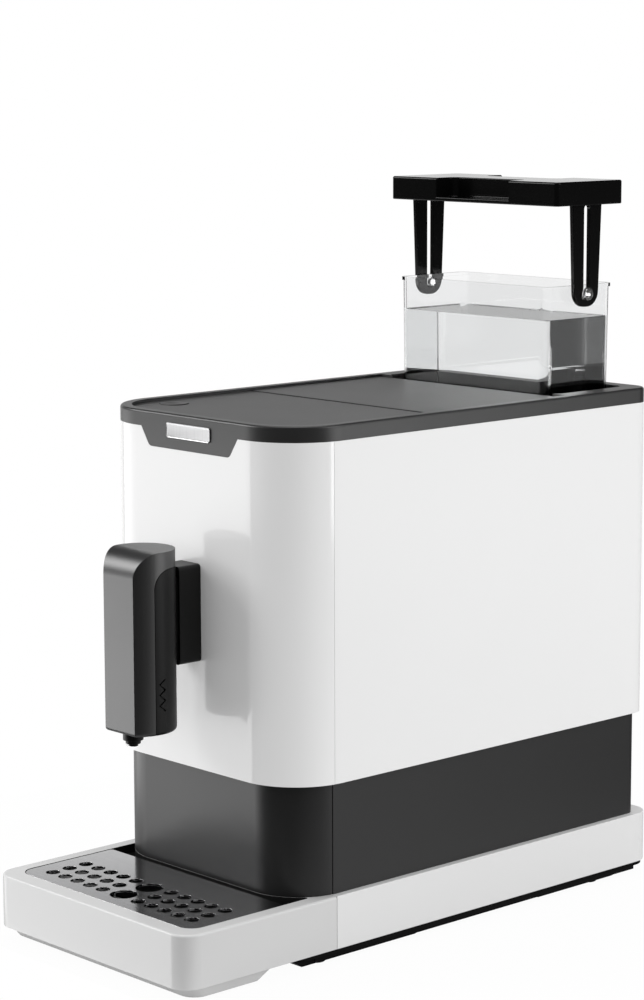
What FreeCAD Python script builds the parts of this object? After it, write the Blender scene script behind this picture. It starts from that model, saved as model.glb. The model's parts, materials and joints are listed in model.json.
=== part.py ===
import FreeCAD, Part
import math
import os

# Slim bean-to-cup coffee machine, standing with its water tank lifted by the lid handle.
# Millimetres. X is right as seen from the front, Y runs to the back, Z is up from the table.
# "Depth" below is the distance behind the front face of the body.

V = FreeCAD.Vector

# Body
HALF_W = 90.0
BODY_DEPTH = 311.0
BASE_DEPTH = 318.0
TRAY_REACH = 82.0
FRONT_Y = (TRAY_REACH - BASE_DEPTH) / 2
R_FRONT = 40.0
R_REAR = 12.0
WALL = 2.5
SEAM = 34.0
BAND_INSET = 4.5
BAND_WALL = 2.2

# Levels above the table
Z_EDGE = 8.5
Z_BASE = 41.0
Z_SHELL = 109.0
DECK_THICK = 3.0
Z_FLOOR = Z_SHELL + DECK_THICK
Z_FRAME = 311.5
Z_LEDGE = 315.6
Z_DECK = 319.0
Z_RIM = 321.0

# Clearances
GAP = 0.3
SNUG = 0.1

# Top frame
RIM = 7.0
LEDGE = 3.5
APRON_TOP = 45.0
APRON_FOOT = 36.5
APRON_DROP = 11.5
BADGE = (40.0, 0.9, 8.9)
BADGE_LOW = 306.8

# Deck pieces
DECK_SPLIT = 121.3
BUTTON_SIDE = 24.0
BUTTON_X = BUTTON_SIDE - HALF_W
BUTTON_D = 44.0
BUTTON_R = 8.8
COLLAR_LOW = 306.0
BOARD_TOP = 300.6

# Water tank and its lid, as lifted
WELL_SIDE = 14.5
WELL_HALF = HALF_W - WELL_SIDE
WELL_BACK = 11.2
WELL_DEEP = 62.6
WELL_D = (BODY_DEPTH - WELL_BACK - WELL_DEEP, BODY_DEPTH - WELL_BACK)
WELL_WALL = 2.0
WELL_FLOOR = 148.2
TANK_SIDE = 9.5
TANK_HALF = WELL_HALF - TANK_SIDE
TANK_GAP = 0.7
TANK_D = (WELL_D[0] + TANK_GAP, WELL_D[1] - TANK_GAP)
TANK_DRAFT = 2.5
TANK_R = 6.0
TANK_WALL = 2.0
TANK_FLOOR = 233.5
TANK_RIM = 387.0
LIP = 1.4
OUTLET_D = (WELL_D[0] + WELL_D[1]) / 2
OUTLET_R = 6.0
PIN_DROP = 5.4
PIN_Z = TANK_RIM - PIN_DROP
PIN_R = 2.3
LID_SIDE = 1.5
LID_HALF = WELL_HALF - LID_SIDE
LID_GAP = 0.4
LID_D = (WELL_D[0] + LID_GAP, WELL_D[1] - LID_GAP)
LID_RISE = 50.5
LID_LOW = TANK_RIM + LID_RISE
LID_THICK = 15.0
LID_WALL = 2.5
SCOOP_HALF = 32.0
SCOOP_DEEP = 17.0
ARM_GAP = 2.3
ARM_THICK = 3.0
ARM_X = (TANK_HALF + ARM_GAP, TANK_HALF + ARM_GAP + ARM_THICK)
ARM_FOOT = 8.1
ARM_LOW = PIN_Z - ARM_FOOT
ARM_TOP_W = 28.0
ARM_LOW_W = 21.5

# Bean hopper and grinder
HOPPER_SIDE = 16.0
HOPPER_HALF = HALF_W - HOPPER_SIDE
HOPPER_FRONT = 8.7
HOPPER_BACK = 15.2
HOPPER_D = (DECK_SPLIT + HOPPER_FRONT, WELL_D[0] - HOPPER_BACK)
GRINDER_R = 42.0
GRIND_ROOM = 17.2
GRIND_D = WELL_D[0] - WELL_WALL - GRIND_ROOM - GRINDER_R
THROAT_Z = 250.0
GEAR_MODULE = 1.25
GEAR_TEETH = 48
PINION_TEETH = 12
PINION_D = GRIND_D - GEAR_MODULE * (GEAR_TEETH + PINION_TEETH) / 2
GRIND_LOW = 203.0
MOTOR_R = 26.0

# Brew unit
BREW_X = -8.0
BREW_D = 68.0
BORE_R = 20.0
CHAMBER_Z = (140.0, 190.0)
SPINDLE_X = 28.0
SPINDLE_R = 5.0
BREW_TOP = 249.0

# Heater, pump, flow meter
HEAT_SIDE = 12.0
HEAT_WIDE = 30.0
HEAT_X = (HALF_W - HEAT_SIDE - HEAT_WIDE, HALF_W - HEAT_SIDE)
HEAT_LONG = 85.0
HEAT_D = (PINION_D - 8.5, PINION_D - 8.5 + HEAT_LONG)
HEAT_STUB_X = HALF_W - HEAT_SIDE - HEAT_WIDE / 2
HEAT_STUBS = (130.0, 165.0)
RISE_OFF = 1.0
PUMP_X = (MOTOR_R + HEAT_X[0]) / 2 + RISE_OFF
PUMP_Z = 48.0
RISE_D = PINION_D + 8
PUMP_D = RISE_D + 16.5
METER_X = -40.0
METER_D = 232.0
METER_R = 18.0
METER_TOP = 30.0

# Spout
SPOUT_FRONT = -54.5
SPOUT_BACK = -17.0
SPOUT_Z = (138.0, 246.5)
SPOUT_FACE = 13.6
SPOUT_BELLY = 19.8
SPOUT_CROWN = 15.0
SPOUT_LIP = 2.4
GRIP_D = -42.5
GRIP_TOP = 236.0
GRIP_MARK_D = -40.4
GRIP_MARK_Z = (155.7, 162.0, 168.3)
GRIP_CORE = 18.7
RAIL_HALF = 10.5
RAIL_D = (-35.0, -22.9)
RAIL_PLAY = 0.4
NECK_HALF = 8.0
BRACKET_Z = (175.0, 234.0)
RAIL_Z = (178.5, 227.5)
SPOUT_DOWN = 15.0
SPOUT_UP = 35.0
OUTLET_Z = 204.0

# Drip tray drawer
TRAY_R = 13.0
TRAY_LOW = Z_EDGE + GAP
TRAY_FOOT = 1.8
TRAY_FLOOR = 11.3
GRID_SEAT = 39.3
GRID_THICK = 1.2
GRID_SIDE = 9.5
GRID_HALF = HALF_W - GRID_SIDE
GRID_D = (-70.0, 1.5)
GRID_R = 9.5
GUTTER_REAR = 20.0
GUTTER_FLOOR = 35.5
BIN_SIDE = 20.0
BIN_HALF = HALF_W - BIN_SIDE
BIN_D = (37.0, 136.0)
BIN_TOP = 100.0
RUNNER_WIDE = 4.0
RUNNER_HALF = BIN_HALF + RUNNER_WIDE

# Small parts
SCREW_R = 1.5
HOSE_R = 3.5
SPIGOT_R = 1.8
SPIGOT_REACH = 6.0


def at(depth):
    return FRONT_Y + depth


def box(x, d, z):
    return Part.makeBox(x[1] - x[0], d[1] - d[0], z[1] - z[0], V(x[0], at(d[0]), z[0]))


def rod(x, d, z, r, reach, along=V(0, 0, 1)):
    return Part.makeCylinder(r, reach, V(x, at(d), z), along)


def cone(x, d, z, r0, r1, reach):
    return Part.makeCone(r0, r1, reach, V(x, at(d), z), V(0, 0, 1))


def outline(half, d, r_front, r_rear, z):
    # closed plan with its own corner radius at the front and at the rear
    d0, d1 = d
    corners = ((half, d0, 1, 1, r_front), (half, d1, 1, -1, r_rear),
               (-half, d1, -1, -1, r_rear), (-half, d0, -1, 1, r_front))
    s = math.sqrt(0.5)
    stops = []
    for i, (x, dd, sx, sd, r) in enumerate(corners):
        cx, cd = x - sx * r, dd + sd * r
        side = V(x, at(cd), z)
        end = V(cx, at(dd), z)
        mid = V(cx + sx * r * s, at(cd - sd * r * s), z)
        stops.append((end, mid, side) if i % 2 == 0 else (side, mid, end))
    edges = []
    for i, (a, m, b) in enumerate(stops):
        edges.append(Part.Arc(a, m, b).toShape())
        edges.append(Part.makeLine(b, stops[(i + 1) % 4][0]))
    return Part.Wire(edges)


def slab(half, d, r_front, r_rear, z):
    face = Part.Face(outline(half, d, r_front, r_rear, z[0]))
    return face.extrude(V(0, 0, z[1] - z[0]))


def loft(lower, upper):
    return Part.makeLoft([lower, upper], True, True)


def body_plan(inset, z):
    return slab(HALF_W - inset, (inset, BODY_DEPTH - inset), R_FRONT - inset, R_REAR - inset, z)


def body_wall(inset, wall, z):
    inner = body_plan(inset + wall, (z[0] - 1, z[1] + 1))
    return body_plan(inset, z).cut(inner)


def rounded(points, radii, place):
    # closed wire through 2D points with tangent arcs at the corners that have a radius
    n = len(points)
    ends = []
    for i in range(n):
        p = points[i]
        a = points[i - 1]
        b = points[(i + 1) % n]
        ua = [a[0] - p[0], a[1] - p[1]]
        ub = [b[0] - p[0], b[1] - p[1]]
        la = math.hypot(*ua)
        lb = math.hypot(*ub)
        ua = [c / la for c in ua]
        ub = [c / lb for c in ub]
        r = radii[i]
        if r == 0:
            ends.append((p, None, p))
            continue
        half = math.acos(ua[0] * ub[0] + ua[1] * ub[1]) / 2
        reach = r / math.tan(half)
        bis = [ua[0] + ub[0], ua[1] + ub[1]]
        lbis = math.hypot(*bis)
        far = r / math.sin(half) - r
        mid = (p[0] + bis[0] / lbis * far, p[1] + bis[1] / lbis * far)
        start = (p[0] + ua[0] * reach, p[1] + ua[1] * reach)
        stop = (p[0] + ub[0] * reach, p[1] + ub[1] * reach)
        ends.append((start, mid, stop))
    edges = []
    for i in range(n):
        start, mid, stop = ends[i]
        if mid is not None:
            edges.append(Part.Arc(place(*start), place(*mid), place(*stop)).toShape())
        nxt = ends[(i + 1) % n][0]
        if math.hypot(nxt[0] - stop[0], nxt[1] - stop[1]) > 1e-6:
            edges.append(Part.makeLine(place(*stop), place(*nxt)))
    return Part.Wire(edges)


def front_profile(points, radii, d, thick):
    # profile drawn as seen from the front (x, z), running back from depth d
    face = Part.Face(rounded(points, radii, lambda x, z: V(x, at(d), z)))
    return face.extrude(V(0, thick, 0))


def side_profile(points, radii, x, thick):
    # profile drawn as seen from the side (depth, z), running right from x
    face = Part.Face(rounded(points, radii, lambda d, z: V(x, at(d), z)))
    return face.extrude(V(thick, 0, 0))


def join(*shapes):
    whole = shapes[0].multiFuse(list(shapes[1:]))
    return whole.removeSplitter()


def mirrored(shape):
    return shape.mirror(V(0, 0, 0), V(1, 0, 0))


def pair(shape):
    return Part.makeCompound([shape, mirrored(shape)])


def top_filleted(shape, z, r):
    edges = [e for e in shape.Edges if all(abs(v.Z - z) < 1e-6 for v in e.Vertexes)]
    return shape.makeFillet(r, edges)


# Base and feet

FOOT_SIDE = 13.0
FOOT_X = HALF_W - FOOT_SIDE
FOOT_D = (30.0, 270.0)
FOOT_R = 6.0
RAIL_WIDE = 14.0
RAIL_X = (FOOT_X - RAIL_WIDE / 2, FOOT_X + RAIL_WIDE / 2)
RAIL_LOW = 1.5
PAN_LOW = 6.0
PAN_EDGE = 1.5
PAN_D = (5.0, BASE_DEPTH - PAN_EDGE)
SCREW_SIDE = 10.0
BASE_SCREWS = [(HALF_W - SCREW_SIDE, d) for d in (128.0, 185.0, BASE_DEPTH - 15)]


def base_pan():
    plate = slab(HALF_W - PAN_EDGE, PAN_D, 8.0, 12.5, (PAN_LOW, Z_EDGE))
    body = plate
    for d0, d1 in ((PAN_D[0], 113.0), (208.0, 293.0)):
        rail = side_profile([(d0, PAN_LOW), (d0 + 7, RAIL_LOW), (d1 - 7, RAIL_LOW), (d1, PAN_LOW)],
                            [0, 2, 2, 0], RAIL_X[0], RAIL_X[1] - RAIL_X[0])
        body = join(body, rail, mirrored(rail))
    for d in FOOT_D:
        cup = rod(FOOT_X, d, 0, FOOT_R, 3.0)
        body = body.cut(cup).cut(mirrored(cup))
    for x, d in BASE_SCREWS:
        hole = rod(x, d, PAN_LOW - 1, SCREW_R + SNUG, 5)
        body = body.cut(hole).cut(mirrored(hole))
    return body


def rubber_feet():
    pads = []
    for d in FOOT_D:
        pad = cone(FOOT_X, d, 0, FOOT_R - 0.8, FOOT_R - SNUG, 0.8)
        pad = join(pad, rod(FOOT_X, d, 0.8, FOOT_R - SNUG, 2.2))
        pads += [pad, mirrored(pad)]
    return Part.makeCompound(pads)


def base_frame():
    d0 = SEAM + 1.2
    z = (Z_EDGE, Z_BASE)
    outer = slab(HALF_W, (-20, BASE_DEPTH), 1.0, 14.0, z)
    room = slab(HALF_W - WALL, (-30, BASE_DEPTH - WALL), 1.0, 14.0 - WALL, (0, Z_BASE - WALL))
    mouth = slab(HALF_W - 9.5, (-30, BASE_DEPTH - 13.5), 1.0, 5.0, (0, 60))
    body = outer.cut(room).cut(mouth)
    body = body.common(box((-HALF_W - 10, HALF_W + 10), (d0, BASE_DEPTH + 12), (0, Z_BASE + 19)))
    for x, d in BASE_SCREWS:
        boss = join(rod(x, d, Z_EDGE, 4.0, 12), box((x, HALF_W - 1), (d - 1, d + 1), (Z_EDGE, 20.5)))
        boss = boss.cut(rod(x, d, Z_EDGE - 1, SCREW_R + SNUG, 10))
        body = join(body, boss, mirrored(boss))
    return body


def base_screws():
    screws = []
    for x, d in BASE_SCREWS:
        screw = join(cone(x, d, PAN_LOW - 1.6, 2.0, 3.2, 0.6), rod(x, d, PAN_LOW - 1.0, 3.2, 1.0),
                     rod(x, d, PAN_LOW, SCREW_R, 10.5))
        screws += [screw, mirrored(screw)]
    return Part.makeCompound(screws)


GLAND_SIDE = 35.0
GLAND_X = HALF_W - GLAND_SIDE
GLAND_Z = 62.0


def lower_band():
    z = (Z_BASE, Z_SHELL)
    body = body_wall(BAND_INSET, BAND_WALL, z)
    body = body.common(box((-HALF_W, HALF_W), (SEAM + 2.3, BODY_DEPTH), (0, 200)))
    body = body.cut(rod(GLAND_X, BODY_DEPTH - 21, GLAND_Z, 7.0 + SNUG, 30, V(0, 1, 0)))
    rear = BODY_DEPTH - BAND_INSET
    for i in range(6):
        x = -48.0 + 10 * i
        vent = front_profile([(x, 62), (x + 4, 62), (x + 4, 92), (x, 92)], [1.9] * 4, rear - 6, 12)
        body = body.cut(vent)
    return body


def cord_gland():
    rear = BODY_DEPTH - BAND_INSET
    along = V(0, 1, 0)
    body = join(rod(GLAND_X, rear - 6, GLAND_Z, 7.0, 6.5, along),
                rod(GLAND_X, rear, GLAND_Z, 9.5, 2.5, along),
                Part.makeCone(6.0, 4.5, 7.5, V(GLAND_X, at(rear + 2.5), GLAND_Z), along))
    return body.cut(rod(GLAND_X, rear - 7, GLAND_Z, 3.3, 30, along))


# Housing panels

BACK_SIDE = 20.0
BACK_HALF = HALF_W - BACK_SIDE
BACK_LAP = 12.0
REAR_SCREWS = [(BACK_HALF - BACK_LAP / 2, z) for z in (130.0, 290.0)]


def apron_points(grow):
    foot = Z_FRAME - APRON_DROP - grow
    return [(-APRON_FOOT - grow, foot), (APRON_FOOT + grow, foot),
            (APRON_TOP + grow, Z_FRAME + 1.5), (-APRON_TOP - grow, Z_FRAME + 1.5)]


def front_shell():
    z = (Z_SHELL, Z_FRAME)
    ahead = box((-HALF_W, HALF_W), (-5, SEAM - SNUG), (0, 400))
    skin = body_wall(0, WALL, z).common(ahead)
    lip = body_wall(WALL, 2.0, (Z_SHELL + 5, Z_FRAME - 5))
    lip = lip.common(box((-HALF_W, HALF_W), (SEAM - 8, SEAM + 6), (0, 400)))
    body = join(skin, lip)
    body = body.cut(front_profile(apron_points(SNUG), [4.2, 4.2, 0, 0], -1, 5))
    body = body.cut(rod(0, -1, OUTLET_Z, 5.5 + SNUG, 10, V(0, 1, 0)))
    for z in (BRACKET_Z[0] + 7, BRACKET_Z[1] - 7):
        body = body.cut(rod(0, -1, z, SCREW_R + SNUG, 10, V(0, 1, 0)))
    return body


def side_panel():
    skin = body_wall(0, WALL, (Z_SHELL, Z_FRAME))
    skin = skin.common(box((0, HALF_W), (SEAM + SNUG, BODY_DEPTH), (0, 400)))
    skin = skin.cut(box((-1, BACK_HALF), (BODY_DEPTH - 11, BODY_DEPTH + 9), (0, 400)))
    back = BODY_DEPTH - WALL
    flange = box((BACK_HALF - BACK_LAP, HALF_W - R_REAR + 1), (back - WALL, back), (Z_FLOOR + 2, Z_FRAME - 3))
    side = HALF_W - WALL
    ribs = [box((side - 3, side), (d, d + 1.6), (Z_FLOOR + 8, Z_FRAME - 11.5))
            for d in (110.0, 170.0, 230.0)]
    body = join(skin, flange, *ribs)
    for x, z in REAR_SCREWS:
        body = body.cut(rod(x, back - 5, z, SCREW_R + SNUG, 10, V(0, 1, 0)))
    return body


def rear_panel():
    back = BODY_DEPTH - WALL
    half = BACK_HALF - SNUG
    body = box((-half, half), (back, BODY_DEPTH), (Z_SHELL, Z_FRAME))
    for i in range(9):
        x = -42.0 + 10 * i
        vent = front_profile([(x, 125), (x + 4, 125), (x + 4, 165), (x, 165)], [1.9] * 4, back - 1, 5)
        body = body.cut(vent)
    for x, z in REAR_SCREWS:
        hole = rod(x, back - 1, z, SCREW_R + SNUG, 10, V(0, 1, 0))
        body = body.cut(hole).cut(mirrored(hole))
    return body


def rear_screws():
    along = V(0, 1, 0)
    screws = []
    for x, z in REAR_SCREWS:
        screw = join(rod(x, BODY_DEPTH, z, 3.2, 1.0, along),
                     rod(x, BODY_DEPTH - 5, z, SCREW_R, 5.2, along),
                     Part.makeCone(3.2, 2.0, 0.6, V(x, at(BODY_DEPTH + 1), z), along))
        screws += [screw, mirrored(screw)]
    return Part.makeCompound(screws)


def top_frame():
    body = top_filleted(body_plan(0, (Z_FRAME, Z_RIM)), Z_RIM, 1.6)
    bar = WELL_D[0]
    deck = slab(HALF_W - RIM, (RIM, bar), R_FRONT - RIM, 0.5, (Z_LEDGE, 340))
    under = RIM + LEDGE
    through = slab(HALF_W - under, (under, bar - 9), R_FRONT - under, 3.0, (300, 340))
    well = slab(WELL_HALF + 0.5, WELL_D, 4.0, 6.0, (300, 340))
    body = body.cut(deck).cut(through).cut(well)
    apron = front_profile(apron_points(0), [4.0, 4.0, 0, 0], 0, WALL)
    return join(body, apron)


def badge_plate():
    x, thick, tall = BADGE[0] / 2, BADGE[1], BADGE[2]
    points = [(-x, BADGE_LOW), (x, BADGE_LOW), (x, BADGE_LOW + tall), (-x, BADGE_LOW + tall)]
    return front_profile(points, [1.2] * 4, -thick, thick)


# Inner deck and posts

POST_UP = (HALF_W - 12.0, HALF_W - 4.0)
POST_BACK = (HALF_W - 11.8, HALF_W - 6.0)
POST_LOW = (HALF_W - 15.5, HALF_W - 9.7)
POSTS = ((POST_UP, (60.0, 68.0), (Z_FLOOR, Z_FRAME)),
         (POST_BACK, (BODY_DEPTH - 14, BODY_DEPTH - 6), (Z_FLOOR, Z_FRAME)),
         (POST_LOW, (160.0, 168.0), (Z_EDGE, Z_SHELL)),
         (POST_LOW, (290.0, 298.0), (Z_EDGE, Z_SHELL)))


def inner_deck():
    plate = body_plan(WALL + SNUG, (Z_SHELL, Z_FLOOR))
    plate = plate.cut(slab(30.0, (45.0, 92.0), 4.0, 4.0, (100, 120)))
    for x, d in ((0, OUTLET_D), (PUMP_X, RISE_D)):
        plate = plate.cut(rod(x, d, 100, 6.0, 20))
    return plate


def inner_posts():
    posts = []
    for x, d, z in POSTS:
        post = box(x, d, z)
        posts += [post, mirrored(post)]
    return Part.makeCompound(posts)


# Controls

BOSSES = ((50.0, 32.0), (50.0, 106.0))


def control_panel():
    inset = RIM + GAP
    body = slab(HALF_W - inset, (inset, DECK_SPLIT), R_FRONT - inset, 0.5, (Z_LEDGE, Z_DECK))
    body = join(body, rod(BUTTON_X, BUTTON_D, COLLAR_LOW, BUTTON_R + 2.4, Z_LEDGE - COLLAR_LOW))
    for x, d in BOSSES:
        boss = rod(x, d, BOARD_TOP, 3.0, Z_LEDGE - BOARD_TOP)
        body = join(body, boss, mirrored(boss))
    return body.cut(rod(BUTTON_X, BUTTON_D, 300, BUTTON_R + GAP, 30))


def power_button():
    low = COLLAR_LOW - GAP
    body = join(rod(BUTTON_X, BUTTON_D, low, BUTTON_R, Z_DECK - low),
                rod(BUTTON_X, BUTTON_D, low - 1.5, BUTTON_R + 1.6, 1.5))
    dish = Part.makeSphere(40.0, V(BUTTON_X, at(BUTTON_D - 3.5), Z_DECK + 39.4))
    return body.cut(dish)


def control_board():
    board = box((BUTTON_X - 10, BOSSES[0][0] + 8), (26, 112), (BOARD_TOP - 1.6, BOARD_TOP))
    switch = box((BUTTON_X - 3, BUTTON_X + 3), (BUTTON_D - 3, BUTTON_D + 3), (BOARD_TOP, BOARD_TOP + 1.6))
    lamps = [rod(x, BUTTON_D, BOARD_TOP, 2.5, 8) for x in (-30.0, 0.0, 30.0)]
    chip = box((-14, 14), (70, 98), (BOARD_TOP, BOARD_TOP + 2))
    return join(board, switch, chip, *lamps)


def power_board():
    x = POST_LOW[0]
    board = box((-x, -x + 1.6), (155, 300), (20, 100))
    coil = box((-x + 1.6, -x + 24), (170, 200), (55, 90))
    relay = box((-x + 1.6, -x + 18), (215, 240), (60, 82))
    caps = [rod(-x + 1.6, d, 50, 6.0, 22, V(1, 0, 0)) for d in (260.0, 278.0)]
    return join(board, coil, relay, *caps)


# Water tank, well and lid handle

SPIGOT_TOP = 154.0


def tank_well():
    low = WELL_FLOOR - 2.2
    wall = WELL_WALL
    outer = slab(WELL_HALF + wall, (WELL_D[0] - wall, WELL_D[1] + wall), 6.0, 8.0, (low, Z_FRAME))
    body = outer.cut(slab(WELL_HALF, WELL_D, 4.0, 6.0, (WELL_FLOOR, 400)))
    return body.cut(rod(0, OUTLET_D, 100, 7.0 + SNUG, 80))


def tank_coupler():
    low = WELL_FLOOR - 2.2
    body = join(rod(0, OUTLET_D, low - 3, 12.0, 3.0), rod(0, OUTLET_D, low - 1, 7.0, 3.2),
                rod(0, OUTLET_D, WELL_FLOOR - 1, 4.5, SPIGOT_TOP - WELL_FLOOR + 1),
                rod(0, OUTLET_D, low - 9, SPIGOT_R + 1.7, 7.0),
                rod(0, OUTLET_D, low - 14, SPIGOT_R, 6.0))
    return body.cut(rod(0, OUTLET_D, 100, 1.0, 80))


def coupler_seal():
    ring = rod(0, OUTLET_D, WELL_FLOOR, 7.4, 2.5)
    return ring.cut(rod(0, OUTLET_D, WELL_FLOOR - 1, 4.5 + SNUG, 5))


def tank_outline(inset, z):
    fall = TANK_DRAFT * (TANK_RIM - z) / (TANK_RIM - TANK_FLOOR)
    return outline(TANK_HALF - inset - fall, (TANK_D[0] + inset, TANK_D[1] - inset),
                   TANK_R - inset, TANK_R - inset, z)


def water_tank():
    floor = TANK_FLOOR + 2.5
    shell = loft(tank_outline(0, TANK_FLOOR), tank_outline(0, TANK_RIM))
    lip = slab(TANK_HALF + LIP, TANK_D, TANK_R, TANK_R, (TANK_RIM - 2.2, TANK_RIM))
    room = loft(tank_outline(TANK_WALL, floor), tank_outline(TANK_WALL, TANK_RIM + 1))
    body = join(shell, lip).cut(room)
    body = join(body, rod(0, OUTLET_D, TANK_FLOOR, 10.0, 12.5))
    body = body.cut(rod(0, OUTLET_D, TANK_FLOOR - 1, OUTLET_R, 30))
    body = body.cut(rod(0, OUTLET_D, TANK_FLOOR + 4.5, 7.5, 30))
    side = V(1, 0, 0)
    pin = join(rod(TANK_HALF - 1.2, OUTLET_D, PIN_Z, PIN_R, ARM_X[1] - TANK_HALF + 2, side),
               rod(ARM_X[1] + GAP, OUTLET_D, PIN_Z, 4.0, 1.8, side))
    return join(body, pin, mirrored(pin))


def tank_filter():
    low = TANK_FLOOR + 2.5
    cage = rod(0, OUTLET_D, low, 13.0, 26).cut(rod(0, OUTLET_D, low - 1, 11.0, 25))
    for i in range(6):
        a = math.radians(60 * i)
        slot = Part.makeBox(12, 6, 15, V(4, -3, low + 3))
        slot.rotate(V(0, 0, 0), V(0, 0, 1), math.degrees(a))
        slot.translate(V(0, at(OUTLET_D), 0))
        cage = cage.cut(slot)
    return cage.cut(rod(0, OUTLET_D, low + 20, 2.3 + GAP, 10))


def tank_valve():
    seat = TANK_FLOOR + 4.5 + GAP
    return join(rod(0, OUTLET_D, seat, 7.0, 2.5), rod(0, OUTLET_D, seat, 2.3, 25))


def tank_lid():
    d = LID_D
    top = LID_LOW + LID_THICK
    body = slab(LID_HALF, d, 3.0, 3.0, (LID_LOW, top))
    body = top_filleted(body, top, 1.2)
    hollow = slab(LID_HALF - LID_WALL, (d[0] + LID_WALL, d[1] - LID_WALL), 2.0, 2.0,
                  (LID_LOW - 1, top - LID_WALL))
    keep = slab(SCOOP_HALF + 2.2, (d[0] - 1, d[0] + SCOOP_DEEP + 2.2), 1.0, 7.0, (LID_LOW, top))
    hollow = hollow.cut(keep)
    back = slab(SCOOP_HALF + 2.2, (d[1] - SCOOP_DEEP - 2.2, d[1] + 1), 7.0, 1.0, (LID_LOW, top))
    hollow = hollow.cut(back)
    body = body.cut(hollow)
    floor = LID_LOW + 2.6
    grip = slab(SCOOP_HALF, (d[0] - 10, d[0] + SCOOP_DEEP), 1.0, 5.0, (floor, top + 1))
    rear = slab(SCOOP_HALF, (d[1] - SCOOP_DEEP, d[1] + 10), 5.0, 1.0, (floor, top + 1))
    return body.cut(grip).cut(rear)


def lift_arms():
    roof = LID_LOW + LID_THICK - LID_WALL
    mid = OUTLET_D
    arm = side_profile([(mid - ARM_LOW_W / 2, ARM_LOW), (mid + ARM_LOW_W / 2, ARM_LOW),
                        (mid + ARM_TOP_W / 2, roof), (mid - ARM_TOP_W / 2, roof)],
                       [9.8, 9.8, 0, 0], ARM_X[0], ARM_X[1] - ARM_X[0])
    half = PIN_R + GAP
    low = PIN_Z - half
    slot = side_profile([(mid - half, low), (mid + half, low), (mid + half, LID_LOW), (mid - half, LID_LOW)],
                        [half - 0.05] * 4, ARM_X[0] - 1, 6)
    return pair(arm.cut(slot))


# Beans and grinder

def bean_lid():
    z = (Z_LEDGE + GAP, Z_DECK)
    plate = slab(HALF_W - RIM - 0.5, (DECK_SPLIT + 0.5, WELL_D[0] - 0.8), 1.0, 1.0, z)
    h, d = HOPPER_HALF - 1, (HOPPER_D[0] + 1, HOPPER_D[1] - 1)
    skirt = slab(h, d, 9.0, 9.0, (Z_FRAME - 1.5, z[0]))
    skirt = skirt.cut(slab(h - 2, (d[0] + 2, d[1] - 2), 7.0, 7.0, (300, z[0])))
    return join(plate, skirt)


def bean_lid_seal():
    h, d = HOPPER_HALF - 1, (HOPPER_D[0] + 1, HOPPER_D[1] - 1)
    grow = 1 - GAP
    low = Z_FRAME + SNUG
    outer = slab(h + grow, (d[0] - grow, d[1] + grow), 9.0 + grow, 9.0 + grow, (low, low + 2))
    return outer.cut(slab(h, d, 9.0, 9.0, (300, 320)))


def bean_hopper():
    mouth, bend, throat = Z_FRAME, Z_FRAME - 10.5, THROAT_Z + 12
    h, d, g = HOPPER_HALF, HOPPER_D, GRIND_D
    flange = slab(h + 8, (d[0] - 6, d[1] + 5.5), 3.0, 3.0, (mouth - 2.5, mouth))
    outer = loft(outline(22, (g - 22, g + 22), 20.0, 20.0, throat),
                 outline(h + 2, (d[0] - 2, d[1] + 2), 12.0, 12.0, bend))
    outer = join(outer, slab(h + 2, (d[0] - 2, d[1] + 2), 12.0, 12.0, (bend, mouth)))
    inner = loft(outline(20, (g - 20, g + 20), 18.0, 18.0, throat),
                 outline(h, d, 10.0, 10.0, bend))
    inner = join(inner, slab(h, d, 10.0, 10.0, (bend, mouth + 1)))
    neck = slab(22, (g - 22, g + 22), 20.0, 20.0, (THROAT_Z, throat))
    hole = slab(20, (g - 20, g + 20), 18.0, 18.0, (THROAT_Z - 1, throat))
    return join(flange, outer, neck).cut(inner).cut(hole)


CHUTE_BACK = ((-34.0, -20.0), (206.5, 217.0))
CHUTE_FRONT = ((-24.0, -6.0), (201.5, 213.0))
CHUTE_D = (94.0, GRIND_D - 30)


def chute_wire(x, z, d, inset):
    points = [(x[0] + inset, z[0] + inset), (x[1] - inset, z[0] + inset),
              (x[1] - inset, z[1] - inset), (x[0] + inset, z[1] - inset)]
    return Part.makePolygon([V(a, at(d), b) for a, b in points + points[:1]])


def chute_solid(inset, more):
    front = chute_wire(CHUTE_FRONT[0], CHUTE_FRONT[1], CHUTE_D[0], inset)
    back = chute_wire(CHUTE_BACK[0], CHUTE_BACK[1], CHUTE_D[1], inset)
    body = loft(front, back)
    return body if not more else join(body, box(CHUTE_BACK[0], (CHUTE_D[1], CHUTE_D[1] + 8), CHUTE_BACK[1]))


def coffee_chute():
    return chute_solid(0, False).cut(chute_solid(1.5, False))


def grinder_housing():
    g, p, low = GRIND_D, PINION_D, GRIND_LOW
    body = join(rod(0, g, low, GRINDER_R, THROAT_Z - low), rod(0, p, low, 12.5, 17.0),
                box((-12.5, 12.5), (p, g), (low, low + 17)))
    body = body.cut(rod(0, g, low + 3, GRINDER_R - 3, THROAT_Z - low - 6))
    body = body.cut(rod(0, p, low + 3, 10.0, 11)).cut(box((-10, 10), (p, g), (low + 3, low + 14)))
    ledge = rod(0, g, low + 15, GRINDER_R - 2.5, 2.7).cut(rod(0, g, low + 10, GRINDER_R - 9, 20))
    body = join(body, ledge)
    body = body.cut(rod(0, g, THROAT_Z - 5, 20.0, 10))
    body = body.cut(rod(0, g, low - 1, 4.0 + GAP, 10)).cut(rod(0, p, low - 1, 2.5 + GAP, 10))
    return body.cut(chute_solid(0, True))


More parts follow.
